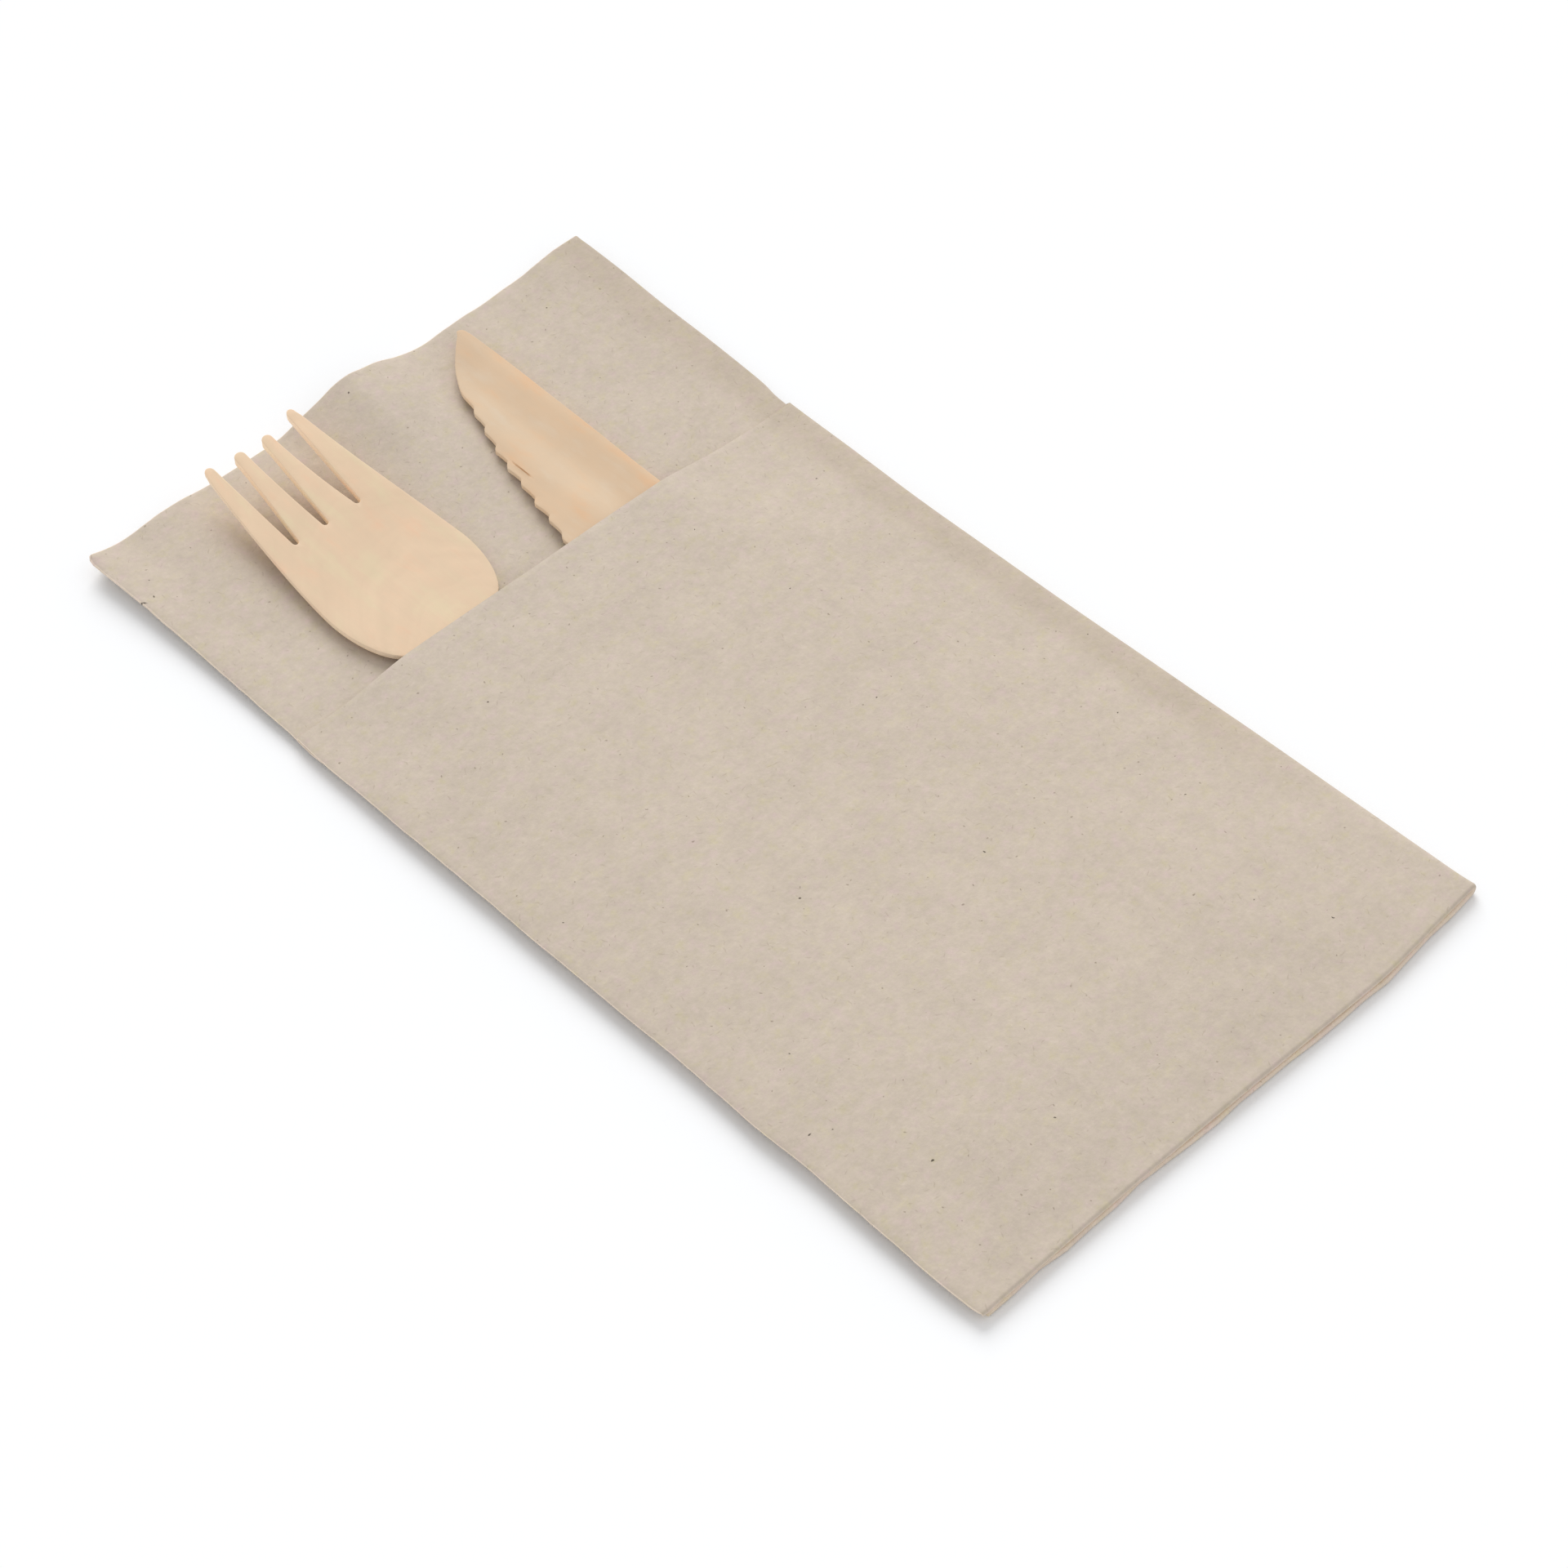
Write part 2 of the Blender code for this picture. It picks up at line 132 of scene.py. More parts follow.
class Nodes:
    """Adds nodes to a material or a group with few words."""

    def __init__(self, tree):
        self.tree = tree

    def add(self, kind, inputs=(), **settings):
        node = self.tree.nodes.new(kind)
        for key, value in settings.items():
            setattr(node, key, value)
        for key, value in dict(inputs).items():
            if isinstance(value, bpy.types.NodeSocket):
                self.tree.links.new(value, node.inputs[key])
            else:
                node.inputs[key].default_value = value
        return node

    def math(self, operation, a, b=0.0, clamp=False):
        return self.add("ShaderNodeMath", {0: a, 1: b}, operation=operation, use_clamp=clamp).outputs[0]

    def vector(self, operation, a, b=(0.0, 0.0, 0.0)):
        return self.add("ShaderNodeVectorMath", {0: a, 1: b}, operation=operation).outputs[0]

    def ramp(self, value, low, high, to_low=0.0, to_high=1.0):
        inputs = {"Value": value, "From Min": low, "From Max": high, "To Min": to_low, "To Max": to_high}
        return self.add("ShaderNodeMapRange", inputs, interpolation_type="SMOOTHSTEP").outputs[0]

    def blend(self, share, a, b):
        node = self.add("ShaderNodeMix", data_type="RGBA")
        for socket, value in ((node.inputs[0], share), (node.inputs[6], a), (node.inputs[7], b)):
            if isinstance(value, bpy.types.NodeSocket):
                self.tree.links.new(value, socket)
            else:
                socket.default_value = value
        return node.outputs[2]

    def group(self, tree, inputs):
        node = self.add("ShaderNodeGroup", node_tree=tree)
        for key, value in inputs.items():
            if isinstance(value, bpy.types.NodeSocket):
                self.tree.links.new(value, node.inputs[key])
            else:
                node.inputs[key].default_value = value
        return node


def new_group(name, inputs, outputs):
    tree = bpy.data.node_groups.new(name, "ShaderNodeTree")
    for label, kind, value in inputs:
        socket = tree.interface.new_socket(label, in_out="INPUT", socket_type=kind)
        if value is not None:
            socket.default_value = value
    for label, kind in outputs:
        tree.interface.new_socket(label, in_out="OUTPUT", socket_type=kind)
    nodes = Nodes(tree)
    source = nodes.add("NodeGroupInput").outputs
    sink = nodes.add("NodeGroupOutput").inputs
    return tree, nodes, source, sink


def flecks_group():
    """Small marks scattered over a surface: one in each cell, turned at random, of a length and a width."""
    inputs = (
        ("Place", "NodeSocketVector", None),
        ("Cells", "NodeSocketFloat", 100.0),
        ("Half Length", "NodeSocketFloat", 0.1),
        ("Half Width", "NodeSocketFloat", 0.03),
        ("Share", "NodeSocketFloat", 0.3),
        ("Turn", "NodeSocketFloat", 1.0),
    )
    tree, n, source, sink = new_group("flecks", inputs, (("Mask", "NodeSocketFloat"),))
    ragged = n.add("ShaderNodeTexNoise", {"Vector": source["Place"], "Scale": 2600.0, "Detail": 1.0}).outputs["Color"]
    ragged = n.vector("SUBTRACT", ragged, (0.5, 0.5, 0.5))
    ragged = n.add("ShaderNodeVectorMath", {0: ragged, "Scale": 0.00035}, operation="SCALE").outputs[0]
    place = n.vector("ADD", source["Place"], ragged)
    scaled = n.add("ShaderNodeVectorMath", {0: place, "Scale": source["Cells"]}, operation="SCALE").outputs[0]
    cells = n.add("ShaderNodeTexVoronoi", {"Vector": scaled, "Scale": 1.0, "Randomness": 1.0}, voronoi_dimensions="2D")
    random = n.add("ShaderNodeSeparateColor", {0: cells.outputs["Color"]}).outputs
    offset = n.vector("SUBTRACT", scaled, cells.outputs["Position"])
    angle = n.math("MULTIPLY", n.math("MULTIPLY", random[0], math.tau), source["Turn"])
    turned = n.add("ShaderNodeVectorRotate", {"Vector": offset, "Angle": angle}, rotation_type="Z_AXIS").outputs[0]
    along = n.add("ShaderNodeSeparateXYZ", {0: turned}).outputs
    size = n.math("ADD", n.math("MULTIPLY", random[1], 0.9), 0.3)
    reach = n.math("DIVIDE", along[0], n.math("MULTIPLY", source["Half Length"], size))
    spread = n.math("DIVIDE", along[1], source["Half Width"])
    far = n.math("SQRT", n.math("ADD", n.math("MULTIPLY", reach, reach), n.math("MULTIPLY", spread, spread)))
    shape = n.ramp(far, 1.35, 0.45)
    kept = n.math("LESS_THAN", random[2], source["Share"])
    n.tree.links.new(n.math("MULTIPLY", shape, kept), sink["Mask"])
    return tree


def mottle_group():
    """Soft light and dark patches: a value round 0, from -1 to 1."""
    inputs = (
        ("Place", "NodeSocketVector", None),
        ("Scale", "NodeSocketFloat", 100.0),
        ("Detail", "NodeSocketFloat", 2.0),
        ("Roughness", "NodeSocketFloat", 0.5),
        ("Shift", "NodeSocketFloat", 0.0),
    )
    tree, n, source, sink = new_group("mottle", inputs, (("Value", "NodeSocketFloat"),))
    shift = n.add("ShaderNodeCombineXYZ", {0: source["Shift"], 1: source["Shift"]}).outputs[0]
    moved = n.vector("ADD", source["Place"], shift)
    cloud = n.add(
        "ShaderNodeTexNoise",
        {"Vector": moved, "Scale": source["Scale"], "Detail": source["Detail"], "Roughness": source["Roughness"]},
    )
    value = n.math("MULTIPLY", n.math("SUBTRACT", cloud.outputs[0], 0.5), 3.0)
    n.tree.links.new(value, sink["Value"])
    return tree


def grain_group(mottle):
    """Birch figure along Y: fine streaks and broad patches, as two values round 0."""
    inputs = (
        ("Place", "NodeSocketVector", None),
        ("Streak Scale", "NodeSocketFloat", 900.0),
        ("Stretch", "NodeSocketFloat", 0.03),
    )
    outputs = (("Streaks", "NodeSocketFloat"), ("Patches", "NodeSocketFloat"))
    tree, n, source, sink = new_group("birch grain", inputs, outputs)
    parts = n.add("ShaderNodeSeparateXYZ", {0: source["Place"]}).outputs
    warp = n.group(mottle, {"Place": source["Place"], "Scale": 40.0, "Detail": 1.0})
    across = n.math("ADD", parts[0], n.math("MULTIPLY", warp.outputs[0], 0.0006))
    along = n.math("MULTIPLY", parts[1], source["Stretch"])
    squeezed = n.add("ShaderNodeCombineXYZ", {0: across, 1: along, 2: n.math("MULTIPLY", parts[2], 0.3)}).outputs[0]
    streaks = n.group(mottle, {"Place": squeezed, "Scale": source["Streak Scale"], "Detail": 3.0, "Roughness": 0.6})
    patches = n.group(mottle, {"Place": squeezed, "Scale": 190.0, "Detail": 2.0, "Shift": 0.37})
    n.tree.links.new(streaks.outputs[0], sink["Streaks"])
    n.tree.links.new(patches.outputs[0], sink["Patches"])
    return tree


def new_material(name, colour, roughness):
    material = bpy.data.materials.new(name)
    material.use_nodes = True
    shader = material.node_tree.nodes["Principled BSDF"]
    shader.inputs["Base Color"].default_value = (*colour, 1.0)
    shader.inputs["Roughness"].default_value = roughness
    shader.inputs["Specular IOR Level"].default_value = 0.2
    return material, Nodes(material.node_tree), shader


def near_line(n, value, place, half_width):
    """1 on a line across the given coordinate, 0 past its half width."""
    away = n.math("ABSOLUTE", n.math("SUBTRACT", value, place))
    return n.ramp(away, half_width, half_width * 0.4)


TISSUE = (0.596, 0.512, 0.424)
TISSUE_YELLOW = (0.590, 0.517, 0.376)
TISSUE_PINK = (0.618, 0.503, 0.455)
# Marks in the tissue: shift of the pattern, cells, half length, half width, share of cells, strength, colour.
TISSUE_MARKS = (
    # brown fibres
    ((0.0, 0.0), 520.0, 0.26, 0.050, 0.36, 0.30, (0.36, 0.29, 0.22)),
    # pale fibres
    ((0.013, 0.007), 600.0, 0.22, 0.06, 0.30, 0.15, (0.78, 0.70, 0.60)),
    # dots
    ((0.019, 0.031), 230.0, 0.042, 0.026, 0.34, 0.55, (0.22, 0.165, 0.12)),
    # dark specks
    ((0.029, 0.017), 75.0, 0.017, 0.010, 0.22, 0.85, (0.06, 0.045, 0.033)),
    # hairs
    ((0.047, 0.011), 24.0, 0.017, 0.0036, 0.14, 0.85, (0.03, 0.022, 0.016)),
)
# Painted shade along the pressed side fold.
SIDE_FOLD_SHADE_TINT = (0.925, 0.915, 0.895)
# Painted light that makes the near fold and the cut rims paler, and the half width of those rims.
PAINTED_RIM_LIGHT_TINT = (1.36, 1.34, 1.33)
CUT_RIM_HALF_WIDTH = 0.00009


def tissue_material(mottle, flecks):
    """Unbleached tissue, laid out on the flat sheet, so that its marks turn with the folds."""
    material, n, shader = new_material("unbleached_tissue", TISSUE, 0.95)
    shader.inputs["Specular IOR Level"].default_value = 0.05
    place = n.add("ShaderNodeUVMap", uv_map="sheet").outputs[0]
    across, along = n.add("ShaderNodeSeparateXYZ", {0: place}).outputs[:2]

    def cloud(scale, detail, roughness, shift=0.0):
        inputs = {"Place": place, "Scale": scale, "Detail": detail, "Roughness": roughness, "Shift": shift}
        return n.group(mottle, inputs).outputs[0]

    fine = cloud(1900.0, 2.0, 0.7)
    small = cloud(620.0, 3.0, 0.7, 0.11)
    broad = cloud(120.0, 3.0, 0.6, 0.23)
    hue = cloud(420.0, 3.0, 0.65, 0.51)
    yellow = n.blend(n.ramp(hue, 0.0, 0.8), (*TISSUE, 1.0), (*TISSUE_YELLOW, 1.0))
    pink = n.blend(n.ramp(hue, 0.0, -0.8), yellow, (*TISSUE_PINK, 1.0))
    shade = n.math("ADD", n.math("MULTIPLY", small, 0.086), n.math("MULTIPLY", broad, 0.064))
    shade = n.math("ADD", 1.0, n.math("ADD", shade, n.math("MULTIPLY", fine, 0.036)))
    shaded = n.add("ShaderNodeVectorMath", {0: pink, "Scale": shade}, operation="SCALE").outputs[0]
    for shift, cells, half_length, half_width, share, strength, colour in TISSUE_MARKS:
        inputs = {
            "Place": n.vector("ADD", place, (*shift, 0.0)),
            "Cells": cells,
            "Half Length": half_length,
            "Half Width": half_width,
            "Share": share,
        }
        mask = n.group(flecks, inputs).outputs[0]
        shaded = n.blend(n.math("MULTIPLY", mask, strength), shaded, (*colour, 1.0))
    # Painted shade darkens the pressed side fold a little; painted light makes the near folds and cut rims paler.
    ragged = n.math("ADD", across, n.math("MULTIPLY", small, 0.0007))
    side_fold = n.ramp(ragged, PANEL_WIDTH - 0.0078, PANEL_WIDTH - 0.0028)
    side_fold_shade = n.math("MULTIPLY", side_fold, n.math("MAXIMUM", n.ramp(along, 0.118, 0.090), n.ramp(along, 0.20, 0.25)))
    shaded = n.blend(side_fold_shade, shaded, n.vector("MULTIPLY", shaded, SIDE_FOLD_SHADE_TINT))
    # Painted light: the near fold's outer face and the cut rims are painted paler than the rest of the sheet.
    fold_start = MOUTH_Y - FOLD_Y
    crease_begins = n.ramp(along, fold_start + 0.0002, fold_start + 0.0009)
    crease_ends = n.ramp(along, fold_start + 0.0020, fold_start + 0.0012)
    pale = n.math("MULTIPLY", crease_begins, crease_ends)
    for value, rim in ((across, 0.0), (across, FLAT_WIDTH), (along, FLAT_LENGTH)):
        pale = n.math("MAXIMUM", pale, near_line(n, value, rim, CUT_RIM_HALF_WIDTH))
    shaded = n.blend(pale, shaded, n.vector("MULTIPLY", shaded, PAINTED_RIM_LIGHT_TINT))
    n.tree.links.new(shaded, shader.inputs["Base Color"])
    emboss = n.add(
        "ShaderNodeTexVoronoi", {"Vector": place, "Scale": 1350.0}, feature="SMOOTH_F1", voronoi_dimensions="2D"
    )
    relief = n.math("ADD", n.math("MULTIPLY", emboss.outputs["Distance"], 0.7), n.math("MULTIPLY", small, 0.9))
    bump = n.add("ShaderNodeBump", {"Height": relief, "Strength": 0.5, "Distance": 0.00006})
    n.tree.links.new(bump.outputs[0], shader.inputs["Normal"])
    return material


FLANK_TINT = (1.0, 0.962, 0.925)
PITH = (0.42, 0.27, 0.15)
# Painted light on the wood's cut sides.
PAINTED_SIDE_LIGHT_TINT = (1.32, 1.40, 1.50)


def birch_material(name, shades, groups, patchy, band=None, arches=None):
    """Pressed birch: its plain, warm and pale shade, and how strong its patches are.

    band is the blade's middle and spine across the knife, and its tip along it.
    arches is the middle of the growth rings across the fork, its tip along it, and how strong they are.
    """
    base, warm, pale = shades
    mottle, flecks, grain = groups
    material, n, shader = new_material(name, base, 0.55)
    place = n.add("ShaderNodeTexCoord").outputs["Object"]
    figure = n.group(grain, {"Place": place, "Streak Scale": 950.0, "Stretch": 0.03})
    streaks, patch = figure.outputs["Streaks"], figure.outputs["Patches"]
    cloud = n.group(mottle, {"Place": place, "Scale": 150.0, "Detail": 3.0, "Shift": 0.9}).outputs[0]
    drawn_out = n.vector("MULTIPLY", place, (1.0, 0.4, 1.0))
    stain_inputs = {"Place": drawn_out, "Scale": 330.0, "Detail": 3.0, "Roughness": 0.6, "Shift": 0.4}
    stain = n.group(mottle, stain_inputs).outputs[0]
    patch = n.math("ADD", n.math("MULTIPLY", patch, 0.45), n.math("MULTIPLY", stain, 0.75))
    colour = n.blend(n.ramp(patch, 0.0, 0.7), (*base, 1.0), (*warm, 1.0))
    colour = n.blend(n.ramp(patch, 0.0, -0.7), colour, (*pale, 1.0))
    shade = n.math("ADD", n.math("MULTIPLY", streaks, 0.022), n.math("MULTIPLY", cloud, 0.034 * patchy))
    shade = n.math("ADD", 1.0, n.math("ADD", shade, n.math("MULTIPLY", stain, 0.030 * patchy)))
    x, y = n.add("ShaderNodeSeparateXYZ", {0: place}).outputs[:2]
    if band:
        # The middle of the blade and its spine are paler than its flanks and its tip.
        middle, spine, tip = band
        away = n.math("ABSOLUTE", n.math("SUBTRACT", x, middle))
        flank = n.ramp(away, 0.0006, 0.0042)
        colour = n.blend(flank, colour, n.vector("MULTIPLY", colour, FLANK_TINT))
        shade = n.math("ADD", shade, n.math("SUBTRACT", 0.070, n.math("MULTIPLY", flank, 0.075)))
        shade = n.math("ADD", shade, n.ramp(x, spine - 0.0024, spine - 0.0006, 0.0, 0.055))
        shade = n.math("ADD", shade, n.ramp(y, tip - 0.016, tip - 0.004, 0.0, -0.045))
    if arches:
        # Growth rings that the bowl cuts across, as faint arches open towards the butt.
        middle, tip, strength = arches
        off = n.math("MULTIPLY", n.math("SUBTRACT", x, middle), n.math("SUBTRACT", x, middle))
        back = n.math("SUBTRACT", n.math("SUBTRACT", tip, y), n.math("MULTIPLY", off, 60.0))
        back = n.math("ADD", back, n.math("MULTIPLY", cloud, 0.0030))
        ring_inputs = {"W": n.math("MULTIPLY", back, 85.0), "Detail": 1.0, "Roughness": 0.5}
        rings = n.add("ShaderNodeTexNoise", ring_inputs, noise_dimensions="1D").outputs[0]
        rings = n.math("SUBTRACT", rings, 0.5)
        shade = n.math("ADD", shade, n.math("MULTIPLY", rings, strength))
        # The tines are paler than the bowl.
        shade = n.math("ADD", shade, n.ramp(y, tip - 0.027, tip + 0.004, 0.0, 0.12))
    colour = n.add("ShaderNodeVectorMath", {0: colour, "Scale": shade}, operation="SCALE").outputs[0]
    narrow = n.vector("MULTIPLY", place, (1.0, 0.25, 1.0))
    pith_inputs = {
        "Place": narrow,
        "Cells": 150.0,
        "Half Length": 0.06,
        "Half Width": 0.045,
        "Share": 0.14,
        "Turn": 0.0,
    }
    pith = n.group(flecks, pith_inputs).outputs[0]
    colour = n.blend(n.math("MULTIPLY", pith, 0.16), colour, (*PITH, 1.0))
    # Painted light: the cut sides are painted paler than the pressed faces.
    rim = n.add("ShaderNodeAttribute", attribute_name="rim").outputs["Fac"]
    colour = n.blend(rim, colour, n.vector("MULTIPLY", colour, PAINTED_SIDE_LIGHT_TINT))
    n.tree.links.new(colour, shader.inputs["Base Color"])
    roughness = n.math("ADD", 0.56, n.math("MULTIPLY", streaks, 0.05))
    n.tree.links.new(roughness, shader.inputs["Roughness"])
    bump = n.add("ShaderNodeBump", {"Height": streaks, "Strength": 0.25, "Distance": 0.00003})
    n.tree.links.new(bump.outputs[0], shader.inputs["Normal"])
    return material


# ---------------------------------------------------------------- napkin

# Height of the pocket front above its flat place, across the napkin, in mm.
POCKET_ACROSS = (
    (-51.0, 0.10),
    (-48.0, 0.32),
    (-44.0, 0.75),
    (-38.0, 1.35),
    (-31.0, 1.85),
    (-26.0, 1.95),
    (-16.0, 1.93),
    (-4.5, 1.80),
    (6.0, 1.90),
    (16.0, 1.93),
    (23.0, 1.90),
    (32.0, 1.55),
    (40.0, 1.10),
    (44.0, 0.85),
    (47.4, 0.70),
    (49.2, 0.42),
    (50.6, 0.0),
)
# The same at the mouth, where the front lies down beside the cutlery.
MOUTH_ACROSS = (
    (-51.0, -0.25),
    (-44.0, -0.22),
    (-39.5, 0.15),
    (-34.0, 1.20),
    (-30.0, 1.78),
    (-26.0, 1.90),
    (-16.0, 1.90),
    (-4.5, 1.87),
    (6.0, 2.02),
    (16.0, 1.93),
    (22.0, 1.85),
    (26.0, 1.35),
    (31.0, 0.60),
    (36.0, 0.10),
    (41.0, -0.20),
    (50.6, -0.25),
)
MOUTH_REACH = 0.030
# Share of that height from the near fold to the mouth: place along the napkin in mm, share.
POCKET_ALONG = ((-95.0, 0.0), (-92.0, 0.12), (-84.0, 0.52), (-76.0, 0.92), (-70.0, 1.0), (45.0, 1.0))
# How far the sides of the folded napkin stand out from straight, along it, in mm.
LEFT_BOW = (
    (-95.0, -0.30),
    (-87.0, 0.20),
    (-79.0, 0.14),
    (-70.0, 0.12),
    (-62.0, 0.02),
    (-53.0, 0.42),
    (-44.0, 0.25),
    (-35.0, 0.21),
    (-25.0, 0.42),
    (-16.0, 0.50),
    (-7.0, 0.66),
    (0.0, 0.62),
    (12.0, 0.75),
    (22.0, 0.80),
    (32.0, 0.80),
    (38.0, 0.85),
    (43.0, 0.68),
    (47.0, 0.48),
    (53.0, 0.45),
    (63.0, 0.40),
    (74.0, 0.45),
    (84.0, 0.68),
    (90.5, 0.98),
    (95.0, 1.15),
)
RIGHT_BOW = (
    (-95.0, 0.95),
    (-92.0, 0.65),
    (-87.0, 0.35),
    (-79.0, 0.10),
    (-70.0, -0.15),
    (-62.0, -0.30),
    (-53.0, -0.50),
    (-44.0, -0.80),
    (-35.0, -1.05),
    (-16.0, -1.60),
    (0.0, -1.85),
    (15.0, -2.00),
    (30.0, -1.60),
    (43.0, -1.35),
    (46.5, -1.15),
    (49.0, -0.70),
    (53.0, -0.40),
    (63.0, 0.0),
    (74.0, 0.15),
    (84.0, 0.50),
    (95.0, 0.60),
)
# How far the near folds stand out, across the napkin, in mm: the upper fold and the lower one.
UPPER_FOLD_BOW = (
    (-50.0, -0.35),
    (-38.0, -0.3),
    (-20.0, -0.2),
    (0.0, 0.25),
    (20.0, 0.85),
    (30.0, 1.05),
    (40.0, 0.4),
    (50.0, -0.2),
)
LOWER_FOLD_BOW = (
    (-50.0, -0.40),
    (-45.0, -0.25),
    (-40.0, -0.60),
    (-35.0, 0.0),
    (-31.0, -0.28),
    (-27.0, 0.10),
    (-20.0, -0.38),
    (-15.0, -0.08),
    (-5.0, 0.55),
    (0.0, 0.38),
    (5.0, 0.60),
    (10.0, 0.74),
    (15.0, 1.10),
    (20.0, 1.22),
    (25.0, 1.20),
    (29.0, 1.52),
    (35.0, 0.95),
    (40.0, 0.50),
    (45.0, 0.40),
    (50.0, -0.1),
)
# How far the upper layers sink at their free left side, in mm.
LEFT_SINK = 0.20
# The near folds are pressed flatter than the stack: share of the height that stays there.
FOLD_PRESS = 0.85
# How far the back panel's free side lifts off the table past the mouth, along it, in mm.
SIDE_LIFT = ((47.0, 0.0), (60.0, 0.30), (75.0, 0.60), (88.0, 0.90), (95.0, 1.10))
CORNER_CURL = 0.0007
CORNER_CURL_REACH = 0.0035
FAR_CORNER_ROUND = 0.0017
NEAR_CORNER_ROUND = 0.0010
HIDDEN_SIDE_TUCK = 0.0007
RIM_UNEVEN_ACROSS = 0.00010
RIM_UNEVEN_ALONG = 0.00008
DIMPLE_HEIGHT = 0.00009
# Height of the free far edge above its flat place, across the napkin, in mm.
FAR_EDGE = (
    (-51.0, 0.3),
    (-47.5, -0.2),
    (-43.7, -0.3),
    (-38.5, 0.4),
    (-33.0, 0.5),
    (-28.0, -0.2),
    (-22.0, -0.5),
    (-13.0, -0.4),
    (-8.5, 0.9),
    (-4.0, 2.3),
    (-1.0, 3.3),
    (1.5, 3.5),
    (4.0, 2.9),
    (7.0, 2.3),
    (11.0, 0.6),
    (14.0, -0.3),
    (17.0, -0.6),
    (21.0, -0.3),
    (25.0, -0.2),
    (29.0, -0.4),
    (33.0, -0.1),
    (37.5, 0.1),
    (43.0, 1.0),
    (47.0, 1.2),
    (51.0, 0.9),
)
RIPPLE_REACH = 0.045


def far_edge_lift(x, y):
    share = 2 * ease(FAR_Y - RIPPLE_REACH, FAR_Y + RIPPLE_REACH, y)
    return share * curve(FAR_EDGE, x / MM) * MM if share > 0 else 0.0


def pocket_lift(x, y):
    share = ease(MOUTH_Y - MOUTH_REACH, MOUTH_Y, y)
    height = mix(curve(POCKET_ACROSS, x / MM), curve(MOUTH_ACROSS, x / MM), share)
    return height * curve(POCKET_ALONG, y / MM) * MM


def round_corner(x, y, corner_x, corner_y, radius):
    """Moves the places in a corner's square so that its outer edge is an arc."""
    turn_x, turn_y = math.copysign(radius, -corner_x), math.copysign(radius, -corner_y)
    off_x, off_y = (corner_x + turn_x - x) / -turn_x, (corner_y + turn_y - y) / -turn_y
    if off_x >= 0 or off_y >= 0:
        return x, y
    share = max(-off_x, -off_y) / math.hypot(off_x, off_y)
    return corner_x + turn_x + off_x * share * turn_x, corner_y + turn_y + off_y * share * turn_y


def spread(start, end, step):
    count = max(round(abs(end - start) / step), 1)
    return [mix(start, end, i / count) for i in range(count + 1)]


def across_stations():
    """Mid-line of the folded strip, end to end: place, outward direction, length so far."""
    panel = PANEL_WIDTH
    stations = []
    for x in spread(LEFT_X, FOLD_X, 0.00095):
        stations.append((x, STACK_MIDDLE + SIDE_RADIUS, 0.0, 1.0, x - LEFT_X))
    steps = 12
    for i in range(1, steps):
        angle = math.pi / 2 - math.pi * i / steps
        out_x, out_z = math.cos(angle), math.sin(angle)
        length = panel + (math.pi / 2 - angle) * SIDE_RADIUS
        stations.append((FOLD_X + SIDE_RADIUS * out_x, STACK_MIDDLE + SIDE_RADIUS * out_z, out_x, out_z, length))
    for x in spread(FOLD_X, LEFT_X + BOTTOM_SETBACK, 0.005):
        length = panel + math.pi * SIDE_RADIUS + FOLD_X - x
        stations.append((x, STACK_MIDDLE - SIDE_RADIUS, 0.0, -1.0, length))
    return stations


def along_stations():
    """From the mouth round the near fold to the far edge: share of the flap, place, offset, length so far."""
    stations = []
    for y in spread(MOUTH_Y, FOLD_Y, 0.00105):
        stations.append(((y - FOLD_Y) / (MOUTH_Y - FOLD_Y), FOLD_Y, NEAR_RADIUS, MOUTH_Y - y))
    steps = 10
    flap = MOUTH_Y - FOLD_Y
    for i in range(1, steps):
        angle = math.pi / 2 + math.pi * i / steps
        y = FOLD_Y + NEAR_RADIUS * math.cos(angle)
        stations.append((0.0, y, NEAR_RADIUS * math.sin(angle), flap + NEAR_RADIUS * math.pi * i / steps))
    hidden_end = MOUTH_Y - 0.006
    rows = spread(FOLD_Y, hidden_end, 0.004) + spread(hidden_end, FAR_Y, 0.00095)[1:]
    for y in rows:
        stations.append((0.0, y, -NEAR_RADIUS, flap + NEAR_RADIUS * math.pi + y - FOLD_Y))
    return stations


